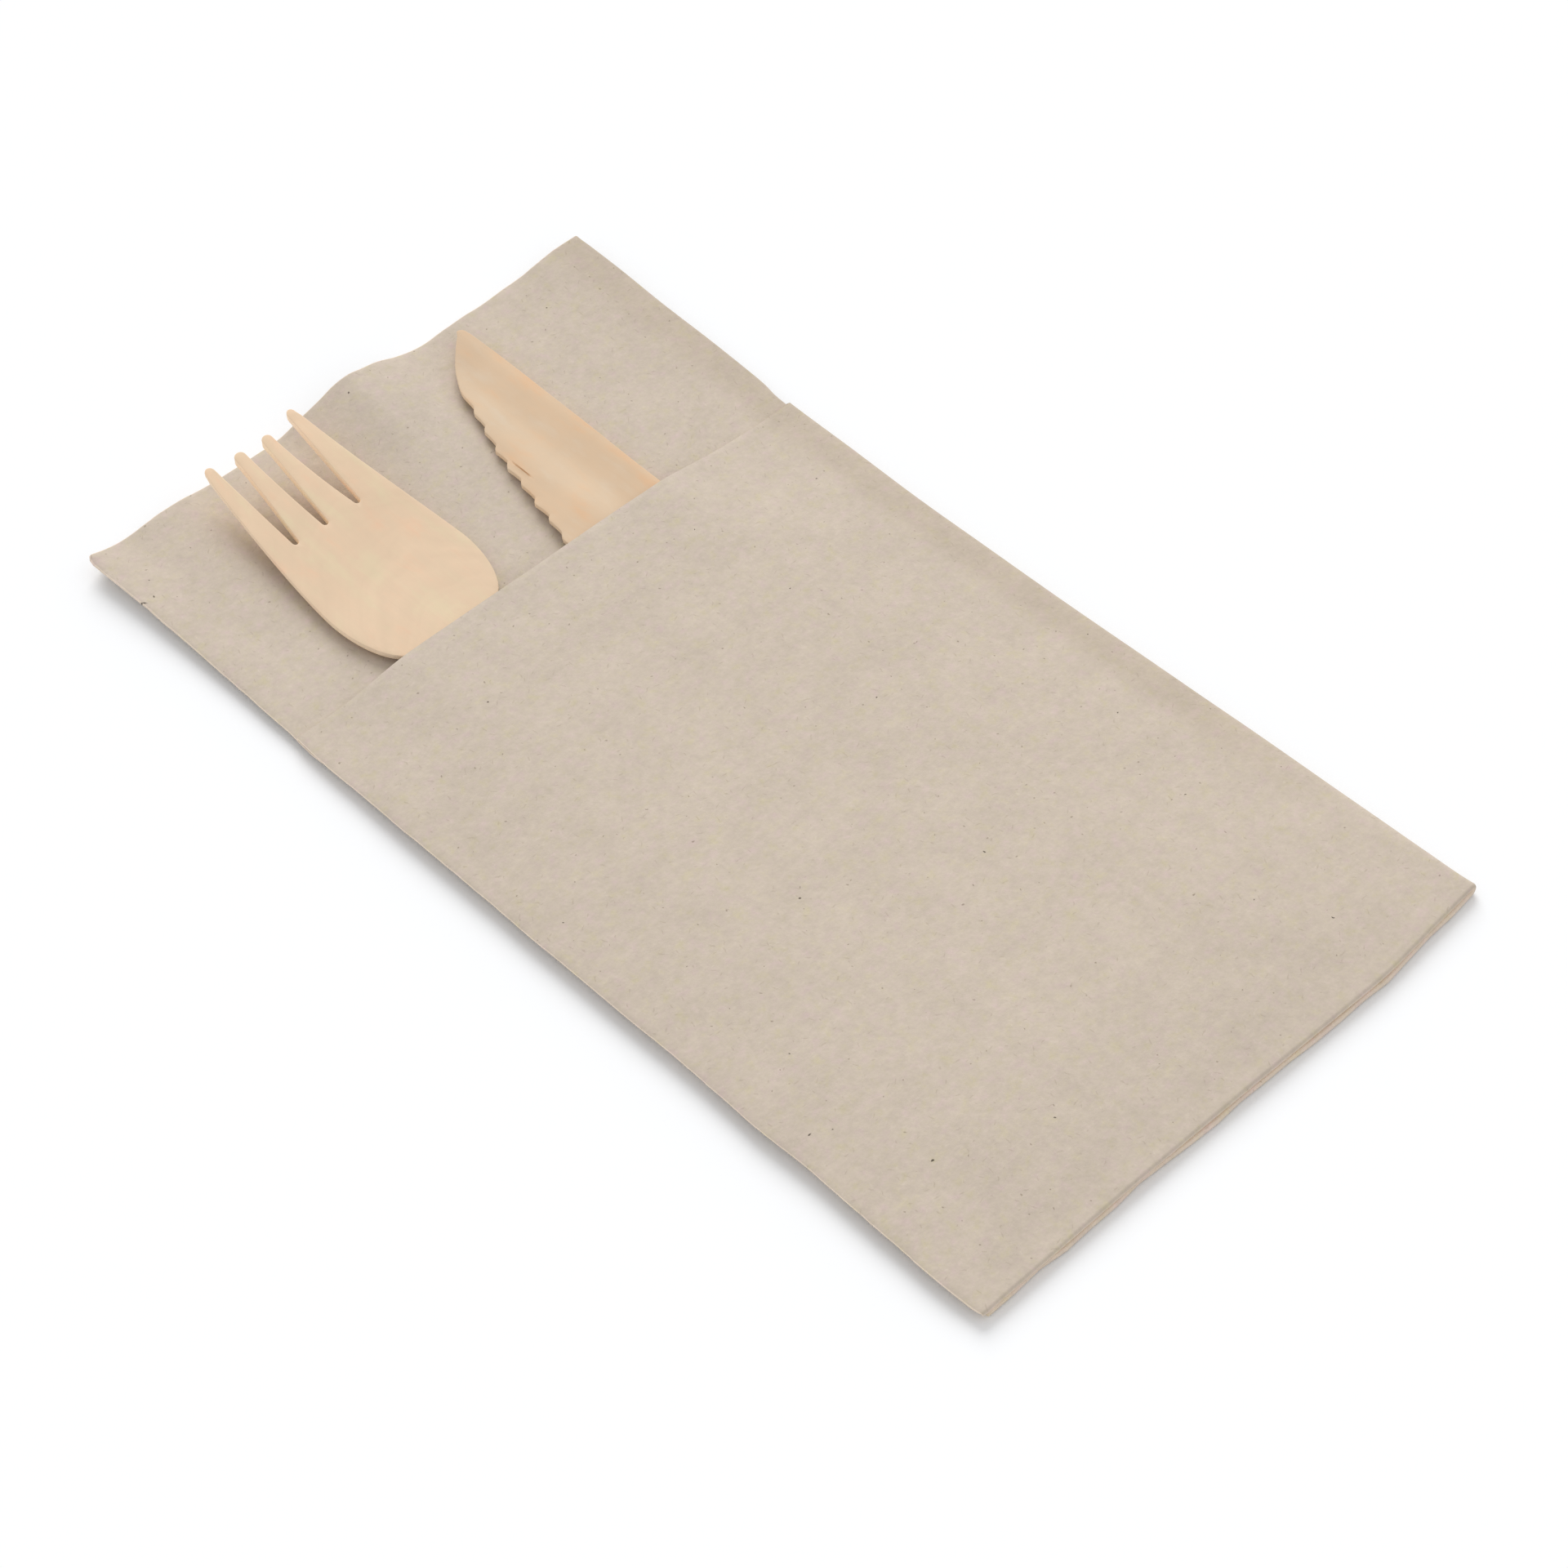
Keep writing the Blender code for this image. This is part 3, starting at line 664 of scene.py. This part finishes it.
def sheet_place(across, along):
    x, z, out_x, out_z, length = across
    flap_share, y, offset, _ = along
    top = max(out_z, 0.0)
    if flap_share > 0:
        mouth_y = MOUTH_Y + MOUTH_SLANT * (0.5 - (x - LEFT_X) / (RIGHT_X - LEFT_X)) * top
        y = mix(FOLD_Y, mouth_y, flap_share)
    side = offset / NEAR_RADIUS
    x += offset * out_x
    z += offset * out_z
    if side > 0 and out_z >= 0:
        z += side * pocket_lift(x, y)
    if side < 0:
        lift = far_edge_lift(x, y)
        z += lift if out_z > 0 or lift < 0 else mix(0.5, 1.0, (1 + out_z)) * lift
    if top > 0:
        free = max(1 - (x - LEFT_X) / 0.004, 0.0)
        z -= top * MM * LEFT_SINK * min(free, 1.0) ** 3 * ease(0.085, 0.060, y)
    press = ease(-0.086, -0.0935, y)
    if press > 0:
        bottom = SHEET_THICKNESS / 2
        z = bottom + (z - bottom) * mix(1.0, FOLD_PRESS, press)
    if side < 0 and x < LEFT_X + 0.014:
        beside = ease(LEFT_X + 0.014, LEFT_X, x)
        z += curve(SIDE_LIFT, y / MM) * beside * beside * MM
        near_corner = max(1 - math.hypot(x - LEFT_X, y - FAR_Y) / CORNER_CURL_REACH, 0.0)
        z += CORNER_CURL * near_corner**2
        if out_z < 0:
            x -= (BOTTOM_SETBACK - 0.0003) * ease(0.084, 0.093, y) * ease(LEFT_X + 0.010, LEFT_X + 0.0015, x)
    if side < 0 and top > 0 and x < LEFT_X + 0.008:
        # The back panel's free side stays hidden under the pocket's.
        x += HIDDEN_SIDE_TUCK * ease(MOUTH_Y - 0.002, MOUTH_Y - 0.010, y) * ease(LEFT_X + 0.008, LEFT_X, x)
    if y > MOUTH_Y:
        x, y = round_corner(x, y, LEFT_X, FAR_Y, FAR_CORNER_ROUND)
    elif y < -0.09:
        x, y = round_corner(x, y, LEFT_X, NEAR_Y, NEAR_CORNER_ROUND)
    # Sides that bow, and near folds that don't lie quite on each other.
    x_mm, y_mm = x / MM, y / MM
    top_share = (1 + out_z) / 2
    left = curve(LEFT_BOW, y_mm) * ease(30.0, -50.0, x_mm) * mix(0.3, 1.0, top_share) if x_mm < 30 else 0.0
    right = curve(RIGHT_BOW, y_mm) * ease(10.0, 50.0, x_mm)
    bow_x = right - left
    fold = mix(curve(LOWER_FOLD_BOW, x_mm), curve(UPPER_FOLD_BOW, x_mm), top_share)
    bow_y = -fold * (1 - ease(-95.0, -60.0, y_mm))
    # The edges of soft tissue are never quite straight.
    uneven = noise.noise(Vector((x * 210, y * 210, 3.3))) + 0.6 * noise.noise(Vector((x * 640, y * 640, 9.1)))
    rim_share = max(ease(LEFT_X + 0.004, LEFT_X, x), ease(FAR_Y - 0.004, FAR_Y, y) if y > 0.08 else 0.0)
    x += bow_x * MM - uneven * rim_share * RIM_UNEVEN_ACROSS
    y += bow_y * MM + uneven * rim_share * RIM_UNEVEN_ALONG
    # Soft dimples of the lying tissue.
    if out_z > 0 and (side > 0 or y > MOUTH_Y):
        soft = noise.noise(Vector((x * 70, y * 70, 1.7))) + 0.5 * noise.noise(Vector((x * 170, y * 170, 5.1)))
        z += DIMPLE_HEIGHT * soft * ease(RIGHT_X, RIGHT_X - 0.006, x) * abs(side)
    return x, y, z


def make_napkin(material):
    across, along = across_stations(), along_stations()
    columns, rows = len(across) - 1, len(along) - 1
    bm = bmesh.new()
    bmesh.ops.create_grid(bm, x_segments=columns, y_segments=rows, size=1.0)
    sheet = bm.loops.layers.uv.new("sheet")
    index = {}
    for vert in bm.verts:
        index[vert] = (round((vert.co.x + 1) / 2 * columns), round((vert.co.y + 1) / 2 * rows))
    for face in bm.faces:
        for loop in face.loops:
            column, row = index[loop.vert]
            loop[sheet].uv = (across[column][4], along[row][3])
    for vert, (column, row) in index.items():
        vert.co = sheet_place(across[column], along[row])
    napkin = smooth_object("napkin_tissue", bm, material)
    solidify = napkin.modifiers.new("sheet thickness", "SOLIDIFY")
    solidify.thickness = SHEET_THICKNESS
    solidify.offset = 0.0
    solidify.use_even_offset = True
    rim = napkin.modifiers.new("soft rim", "BEVEL")
    rim.width = 0.00011
    rim.segments = 2
    rim.limit_method = "ANGLE"
    rim.angle_limit = math.radians(60)
    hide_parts("napkin")
    return napkin


# ---------------------------------------------------------------- cutlery

HEAD_WIDTH = 0.0262
HEAD_TIP_WIDTH = 0.0181
HEAD_TAPER_POWER = 1.35
SHOULDER_FROM_TIP = 0.035
HEAD_BASE_LENGTH = 0.0135
NECK_WIDTH = 0.0130
FORK_BUTT_WIDTH = 0.0170
BUTT_ROUND = 0.0080
NECK_BLEND = 0.0025
TINE_TIP_ROUND = 0.0009
TINE_LIFT = 0.0044
LIFT_POWER = 1.6
HEAD_DISH = 0.0003
SLOT_LENGTH = 0.0192
# Slots between the tines: root centre and mouth centre across from the fork's axis, mouth width.
TINE_SLOTS = ((-0.0068, -0.0057, 0.0033), (-0.0009, -0.0004, 0.0033), (0.0055, 0.0053, 0.0043))
SLOT_ROOT_WIDTH = 0.0011
# How far each tine's tip stands out sideways and forwards of the plain outline, in mm.
TIP_OFFSETS = ((-0.1, 0.5), (0.2, -0.2), (0.3, -0.3), (0.5, 1.4))

# The knife's edge from its tip, in mm: place back from the tip, width from the spine.
BELLY = (
    (0.0, 0.0),
    (0.85, 1.64),
    (3.26, 4.15),
    (6.10, 6.71),
    (9.02, 8.63),
    (11.28, 9.78),
    (12.91, 10.08),
    (14.7, 10.33),
)
# Teeth: back and width of the inner corner, then of the point.
TEETH = (
    ((14.70, 10.33), (16.00, 11.31)),
    ((18.92, 11.66), (19.95, 12.70)),
    ((23.10, 13.10), (24.27, 14.25)),
    ((27.05, 14.25), (28.45, 15.40)),
    ((31.48, 15.35), (32.60, 16.20)),
    ((35.98, 16.44), (37.04, 17.45)),
    ((40.27, 17.35), (41.20, 18.20)),
    ((44.30, 18.45), (45.80, 19.40)),
    ((48.70, 19.55), (49.90, 20.50)),
)
# The spine isn't quite straight: how far it stands out, back from the tip, in mm.
SPINE_BOW = (
    (0.0, 0.0),
    (3.0, 0.15),
    (12.0, 0.20),
    (20.0, 0.10),
    (30.0, 0.0),
    (44.0, -0.3),
    (60.0, -0.2),
    (80.0, 0.0),
)
HEEL_LENGTH = 0.007
HANDLE_WIDTH = 0.0170
KNIFE_TIP_ROUND = 0.0011
GROOVE_DEPTH = 0.0006
GROOVE_HALF_WIDTH = 0.0070
GROOVE_START = 0.012
GROOVE_FADE = 0.020

OUTLINE_STEP = 0.0010
WOOD_EASE = 0.00016
UNDERCUT_RISE = 0.0006
UNDERCUT_REACH = 0.003


def smooth_max(a, b, blend_width):
    overlap = max(blend_width - abs(a - b), 0.0) / blend_width
    return max(a, b) + overlap * overlap * blend_width / 4


def fork_half_width(back):
    head, neck = HEAD_WIDTH / 2, NECK_WIDTH / 2
    if back < SHOULDER_FROM_TIP:
        return mix(head, HEAD_TIP_WIDTH / 2, (1 - back / SHOULDER_FROM_TIP) ** HEAD_TAPER_POWER)
    base = (back - SHOULDER_FROM_TIP) / HEAD_BASE_LENGTH
    bowl = neck + (head - neck) * math.sqrt(max(1 - base * base, 0.0))
    handle_start = SHOULDER_FROM_TIP + HEAD_BASE_LENGTH
    handle = mix(neck, FORK_BUTT_WIDTH / 2, max(back - handle_start, 0.0) / (FORK_LENGTH - handle_start))
    return smooth_max(bowl, handle, NECK_BLEND)


def arc(centre_x, centre_y, radius_x, radius_y, start, end, steps):
    points = []
    for i in range(steps + 1):
        angle = math.radians(mix(start, end, i / steps))
        points.append((centre_x + radius_x * math.cos(angle), centre_y + radius_y * math.sin(angle)))
    return points


def fork_outline():
    """The fork's plan, tips at y = 0, from the left tine round the right side and the butt."""
    tips = [-HEAD_TIP_WIDTH / 2]
    for root, mouth, width in TINE_SLOTS:
        tips += [mouth - width / 2, mouth + width / 2]
    tips.append(HEAD_TIP_WIDTH / 2)
    half_root = SLOT_ROOT_WIDTH / 2
    root_y = -SLOT_LENGTH + half_root
    points = []
    for tine in range(len(TINE_SLOTS) + 1):
        left, right = tips[2 * tine], tips[2 * tine + 1]
        points += arc((left + right) / 2, -TINE_TIP_ROUND, (right - left) / 2, TINE_TIP_ROUND, 180, 0, 10)
        if tine < len(TINE_SLOTS):
            root, mouth, width = TINE_SLOTS[tine]
            shares = [i / 12 for i in range(1, 12)]
            slot_y = [mix(-TINE_TIP_ROUND, root_y, s) for s in shares]
            points += [(mix(mouth - width / 2, root - half_root, s**1.35), y) for s, y in zip(shares, slot_y)]
            points += arc(root, root_y, half_root, half_root, 180, 360, 8)
            shares.reverse()
            slot_y.reverse()
            points += [(mix(mouth + width / 2, root + half_root, s**1.35), y) for s, y in zip(shares, slot_y)]
    straight_end = FORK_LENGTH - BUTT_ROUND
    side = spread(0.0018, straight_end, OUTLINE_STEP)[:-1]
    points += [(fork_half_width(back), -back) for back in side]
    points += arc(0.0, -straight_end, fork_half_width(straight_end), BUTT_ROUND, 0, -180, 24)
    points += [(-fork_half_width(back), -back) for back in reversed(side)]
    return points


def knife_outline():
    """The knife's plan, tip at y = 0 and spine on x = 0, teeth towards -X."""
    straight_end = KNIFE_LENGTH - BUTT_ROUND
    half = HANDLE_WIDTH / 2
    tip = KNIFE_TIP_ROUND
    points = arc(-tip, -tip, tip, tip, 90, 0, 6)
    spine = spread(0.002, straight_end, OUTLINE_STEP)[:-1]
    points += [(curve(SPINE_BOW, back / MM) * MM, -back) for back in spine]
    points += arc(-half, -straight_end, half, BUTT_ROUND, 0, -180, 24)
    teeth_end, blade = TEETH[-1][1][0] * MM, TEETH[-1][1][1] * MM
    heel_end = teeth_end + HEEL_LENGTH
    points += [(-HANDLE_WIDTH, -back) for back in reversed(spread(heel_end, straight_end, OUTLINE_STEP)[:-1])]
    for i in range(1, 8):
        share = i / 8
        points.append((-mix(HANDLE_WIDTH, blade, ease(0, 1, share)), -mix(heel_end, teeth_end, share)))
    for tooth in reversed(range(len(TEETH))):
        (back, width), (point_back, point_width) = TEETH[tooth]
        points.append((-point_width * MM, -point_back * MM))
        points.append((-mix(width, point_width, 0.62) * MM, -mix(back, point_back, 0.52) * MM))
        points.append((-width * MM, -back * MM))
        if tooth:
            before_back, before_width = TEETH[tooth - 1][1]
            points.append((-(mix(width, before_width, 0.5) - 0.06) * MM, -mix(back, before_back, 0.5) * MM))
    for back in reversed(spread(0.0009, BELLY[-1][0] * MM, 0.0009)[:-1]):
        points.append((-curve(BELLY, back / MM) * MM, -back))
    return points


def stamped(outline, thickness):
    """A blank cut to an outline, its rims eased, cut across finely so that it can be pressed."""
    bm = bmesh.new()
    face = bm.faces.new([bm.verts.new((x, y, 0.0)) for x, y in outline])
    raised = bmesh.ops.extrude_face_region(bm, geom=[face])
    top = [item for item in raised["geom"] if isinstance(item, bmesh.types.BMVert)]
    bmesh.ops.translate(bm, verts=top, vec=(0.0, 0.0, thickness))
    bmesh.ops.recalc_face_normals(bm, faces=bm.faces)
    rims = [edge for edge in bm.edges if abs(edge.verts[0].co.z - edge.verts[1].co.z) < thickness / 2]
    bmesh.ops.bevel(bm, geom=rims, offset=WOOD_EASE, segments=3, profile=0.5, affect="EDGES", material=-1)
    for axis, step in ((1, 0.0012), (0, 0.0014)):
        low = min(vert.co[axis] for vert in bm.verts)
        high = max(vert.co[axis] for vert in bm.verts)
        normal = Vector((0.0, 0.0, 0.0))
        normal[axis] = 1.0
        for cut in spread(low, high, step)[1:-1]:
            geom = [*bm.verts, *bm.edges, *bm.faces]
            bmesh.ops.bisect_plane(bm, geom=geom, plane_co=normal * cut, plane_no=normal, dist=1e-6)
    # Marks the cut sides, where the wood's colour gets its painted light.
    rim = bm.verts.layers.float.new("rim")
    for vert in bm.verts:
        vert[rim] = min((thickness - vert.co.z) / WOOD_EASE, 1.0)
    return bm


def undercut(co, thickness, inset):
    """Raises the underside towards the edge, so that a pressed blank's rim is thinner than its middle."""
    if co.z < thickness / 2 and inset < UNDERCUT_REACH:
        co.z += UNDERCUT_RISE * ease(UNDERCUT_REACH, 0.0, inset)


def make_fork(material):
    bm = stamped(fork_outline(), FORK_THICKNESS)
    for vert in bm.verts:
        back = -vert.co.y
        towards_tip = max(1 - back / SLOT_LENGTH, 0.0)
        tine = sum(vert.co.x > mix(root, mouth, towards_tip) for root, mouth, _ in TINE_SLOTS)
        sideways, forwards = TIP_OFFSETS[tine]
        undercut(vert.co, FORK_THICKNESS, fork_half_width(max(back, 0.0)) - abs(vert.co.x))
        lift = TINE_LIFT * max(1 - max(back, 0.0) / SHOULDER_FROM_TIP, 0.0) ** LIFT_POWER
        bowl_end = SHOULDER_FROM_TIP + HEAD_BASE_LENGTH
        bowl = ease(0.0, SLOT_LENGTH, back) * (1 - ease(SHOULDER_FROM_TIP, bowl_end, back))
        dish = HEAD_DISH * bowl * (vert.co.x / (HEAD_WIDTH / 2)) ** 2
        tip_move = Vector((sideways, forwards, 0.0)) * MM * towards_tip**2
        vert.co += Vector((FORK_AXIS_X, FORK_TIP_Y, FORK_SEAT_Z + lift + dish)) + tip_move
    fork = smooth_object("birch_fork", bm, material)
    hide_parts("fork")
    return fork


# The split beside the teeth, in the knife's own places: cuts across it and along it.
SPLIT_X = -0.01388
SPLIT_LIP_X = -0.01405
SPLIT_Y = -0.0301
SPLIT_CUTS_X = (-0.01440, -0.01405, -0.01388, -0.01370)
SPLIT_CUTS_Y = (-0.0275, -0.0284, -0.0300, -0.0318, -0.0330)
SPLIT_REACH = 0.0036


def split_veneer(bm, thickness):
    """A short split along the grain near the teeth, its one lip raised a little."""
    centre = Vector((-0.0139, -0.0302, thickness))
    for axis, cuts in ((0, SPLIT_CUTS_X), (1, SPLIT_CUTS_Y)):
        normal = Vector((0.0, 0.0, 0.0))
        normal[axis] = 1.0
        for cut in cuts:
            near = [face for face in bm.faces if (face.calc_center_median() - centre).length < SPLIT_REACH]
            geom = list({item for face in near for item in (*face.verts, *face.edges, face)})
            bmesh.ops.bisect_plane(bm, geom=geom, plane_co=normal * cut, plane_no=normal, dist=1e-6)
    for vert in bm.verts:
        along = bell(vert.co.y - SPLIT_Y, 0.0019)
        if vert.co.z > thickness - 1e-6 and along > 0.25:
            vert.co.z -= 0.00040 * along * bell(vert.co.x - SPLIT_X, 0.00009)
            vert.co.z += 0.00016 * along * bell(vert.co.x - SPLIT_LIP_X, 0.00014)


def make_knife(material):
    bm = stamped(knife_outline(), KNIFE_THICKNESS)
    split_veneer(bm, KNIFE_THICKNESS)
    edge = [*BELLY[:-1], *(inner for inner, point in TEETH), (60.0, 17.0)]
    for vert in bm.verts:
        back = -vert.co.y
        undercut(vert.co, KNIFE_THICKNESS, curve(edge, back / MM) * MM + vert.co.x)
        depth = GROOVE_DEPTH * ease(GROOVE_START, GROOVE_START + GROOVE_FADE, back)
        off_centre = (vert.co.x + HANDLE_WIDTH / 2) / GROOVE_HALF_WIDTH
        drop = depth * math.exp(-off_centre * off_centre)
        vert.co += Vector((KNIFE_SPINE_X, KNIFE_TIP_Y, KNIFE_SEAT_Z + GROOVE_DEPTH - drop))
    knife = smooth_object("birch_knife", bm, material)
    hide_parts("knife")
    return knife


# ---------------------------------------------------------------- studio

SKY_LIGHT = 0.70
LAMP_LIGHT = 0.34
LAMP_AZIMUTH = 55.0
LAMP_HEIGHT = 36.0
LAMP_SPREAD = 40.0


def make_floor():
    bm = bmesh.new()
    bmesh.ops.create_grid(bm, x_segments=1, y_segments=1, size=3.0)
    mesh = bpy.data.meshes.new("floor")
    bm.to_mesh(mesh)
    bm.free()
    floor = bpy.data.objects.new("floor", mesh)
    material, _, shader = new_material("white_floor", (0.962, 0.970, 0.982), 1.0)
    shader.inputs["Specular IOR Level"].default_value = 0.0
    floor.data.materials.append(material)
    bpy.context.scene.collection.objects.link(floor)


def make_light():
    world = bpy.data.worlds.new("studio")
    bpy.context.scene.world = world
    world.use_nodes = True
    n = Nodes(world.node_tree)
    sky = world.node_tree.nodes["Background"]
    sky.inputs["Color"].default_value = (1.0, 1.0, 1.0, 1.0)
    rays = n.add("ShaderNodeLightPath").outputs
    mirrored = n.math("MAXIMUM", rays["Is Glossy Ray"], rays["Is Transmission Ray"])
    seen = n.math("MAXIMUM", rays["Is Camera Ray"], mirrored)
    strength = n.ramp(seen, 0.0, 1.0, SKY_LIGHT, 1.0)
    n.tree.links.new(strength, sky.inputs["Strength"])
    lamp = bpy.data.lights.new("soft_lamp", "SUN")
    lamp.energy = LAMP_LIGHT * math.pi / math.sin(math.radians(LAMP_HEIGHT))
    lamp.angle = math.radians(LAMP_SPREAD)
    holder = bpy.data.objects.new("soft_lamp", lamp)
    azimuth, height = math.radians(LAMP_AZIMUTH), math.radians(LAMP_HEIGHT)
    towards = Vector((math.cos(azimuth) * math.cos(height), math.sin(azimuth) * math.cos(height), math.sin(height)))
    holder.rotation_euler = towards.to_track_quat("Z", "Y").to_euler()
    holder.location = towards
    bpy.context.scene.collection.objects.link(holder)


def make_camera():
    right = Vector((0.71678, -0.69715, -0.01428)).normalized()
    forward = Vector((0.42964, 0.45768, -0.77842))
    forward = (forward - right * forward.dot(right)).normalized()
    up = right.cross(forward)
    data = bpy.data.cameras.new("camera")
    data.lens = 88.93
    data.sensor_width = 36.0
    data.clip_start = 0.01
    camera = bpy.data.objects.new("camera", data)
    turn = Matrix((right, up, -forward)).transposed().to_4x4()
    camera.matrix_world = Matrix.Translation((-0.2489, -0.2705, 0.4419)) @ turn
    bpy.context.scene.collection.objects.link(camera)
    bpy.context.scene.camera = camera


# Plain, warm and pale shade of each piece's wood.
FORK_SHADES = ((0.728, 0.545, 0.378), (0.760, 0.500, 0.335), (0.735, 0.590, 0.395))
KNIFE_SHADES = ((0.645, 0.486, 0.333), (0.667, 0.450, 0.279), (0.667, 0.533, 0.391))


def main():
    mottle, flecks = mottle_group(), flecks_group()
    wood_groups = (mottle, flecks, grain_group(mottle))
    make_napkin(tissue_material(mottle, flecks))
    arches = (FORK_AXIS_X + 0.002, FORK_TIP_Y, 0.055)
    make_fork(birch_material("birch_fork", FORK_SHADES, wood_groups, 1.15, arches=arches))
    band = (KNIFE_SPINE_X - 0.0093, KNIFE_SPINE_X, KNIFE_TIP_Y)
    make_knife(birch_material("birch_knife", KNIFE_SHADES, wood_groups, 1.2, band=band))
    make_floor()
    make_light()
    make_camera()
    bpy.context.scene.view_settings.view_transform = "Standard"


main()
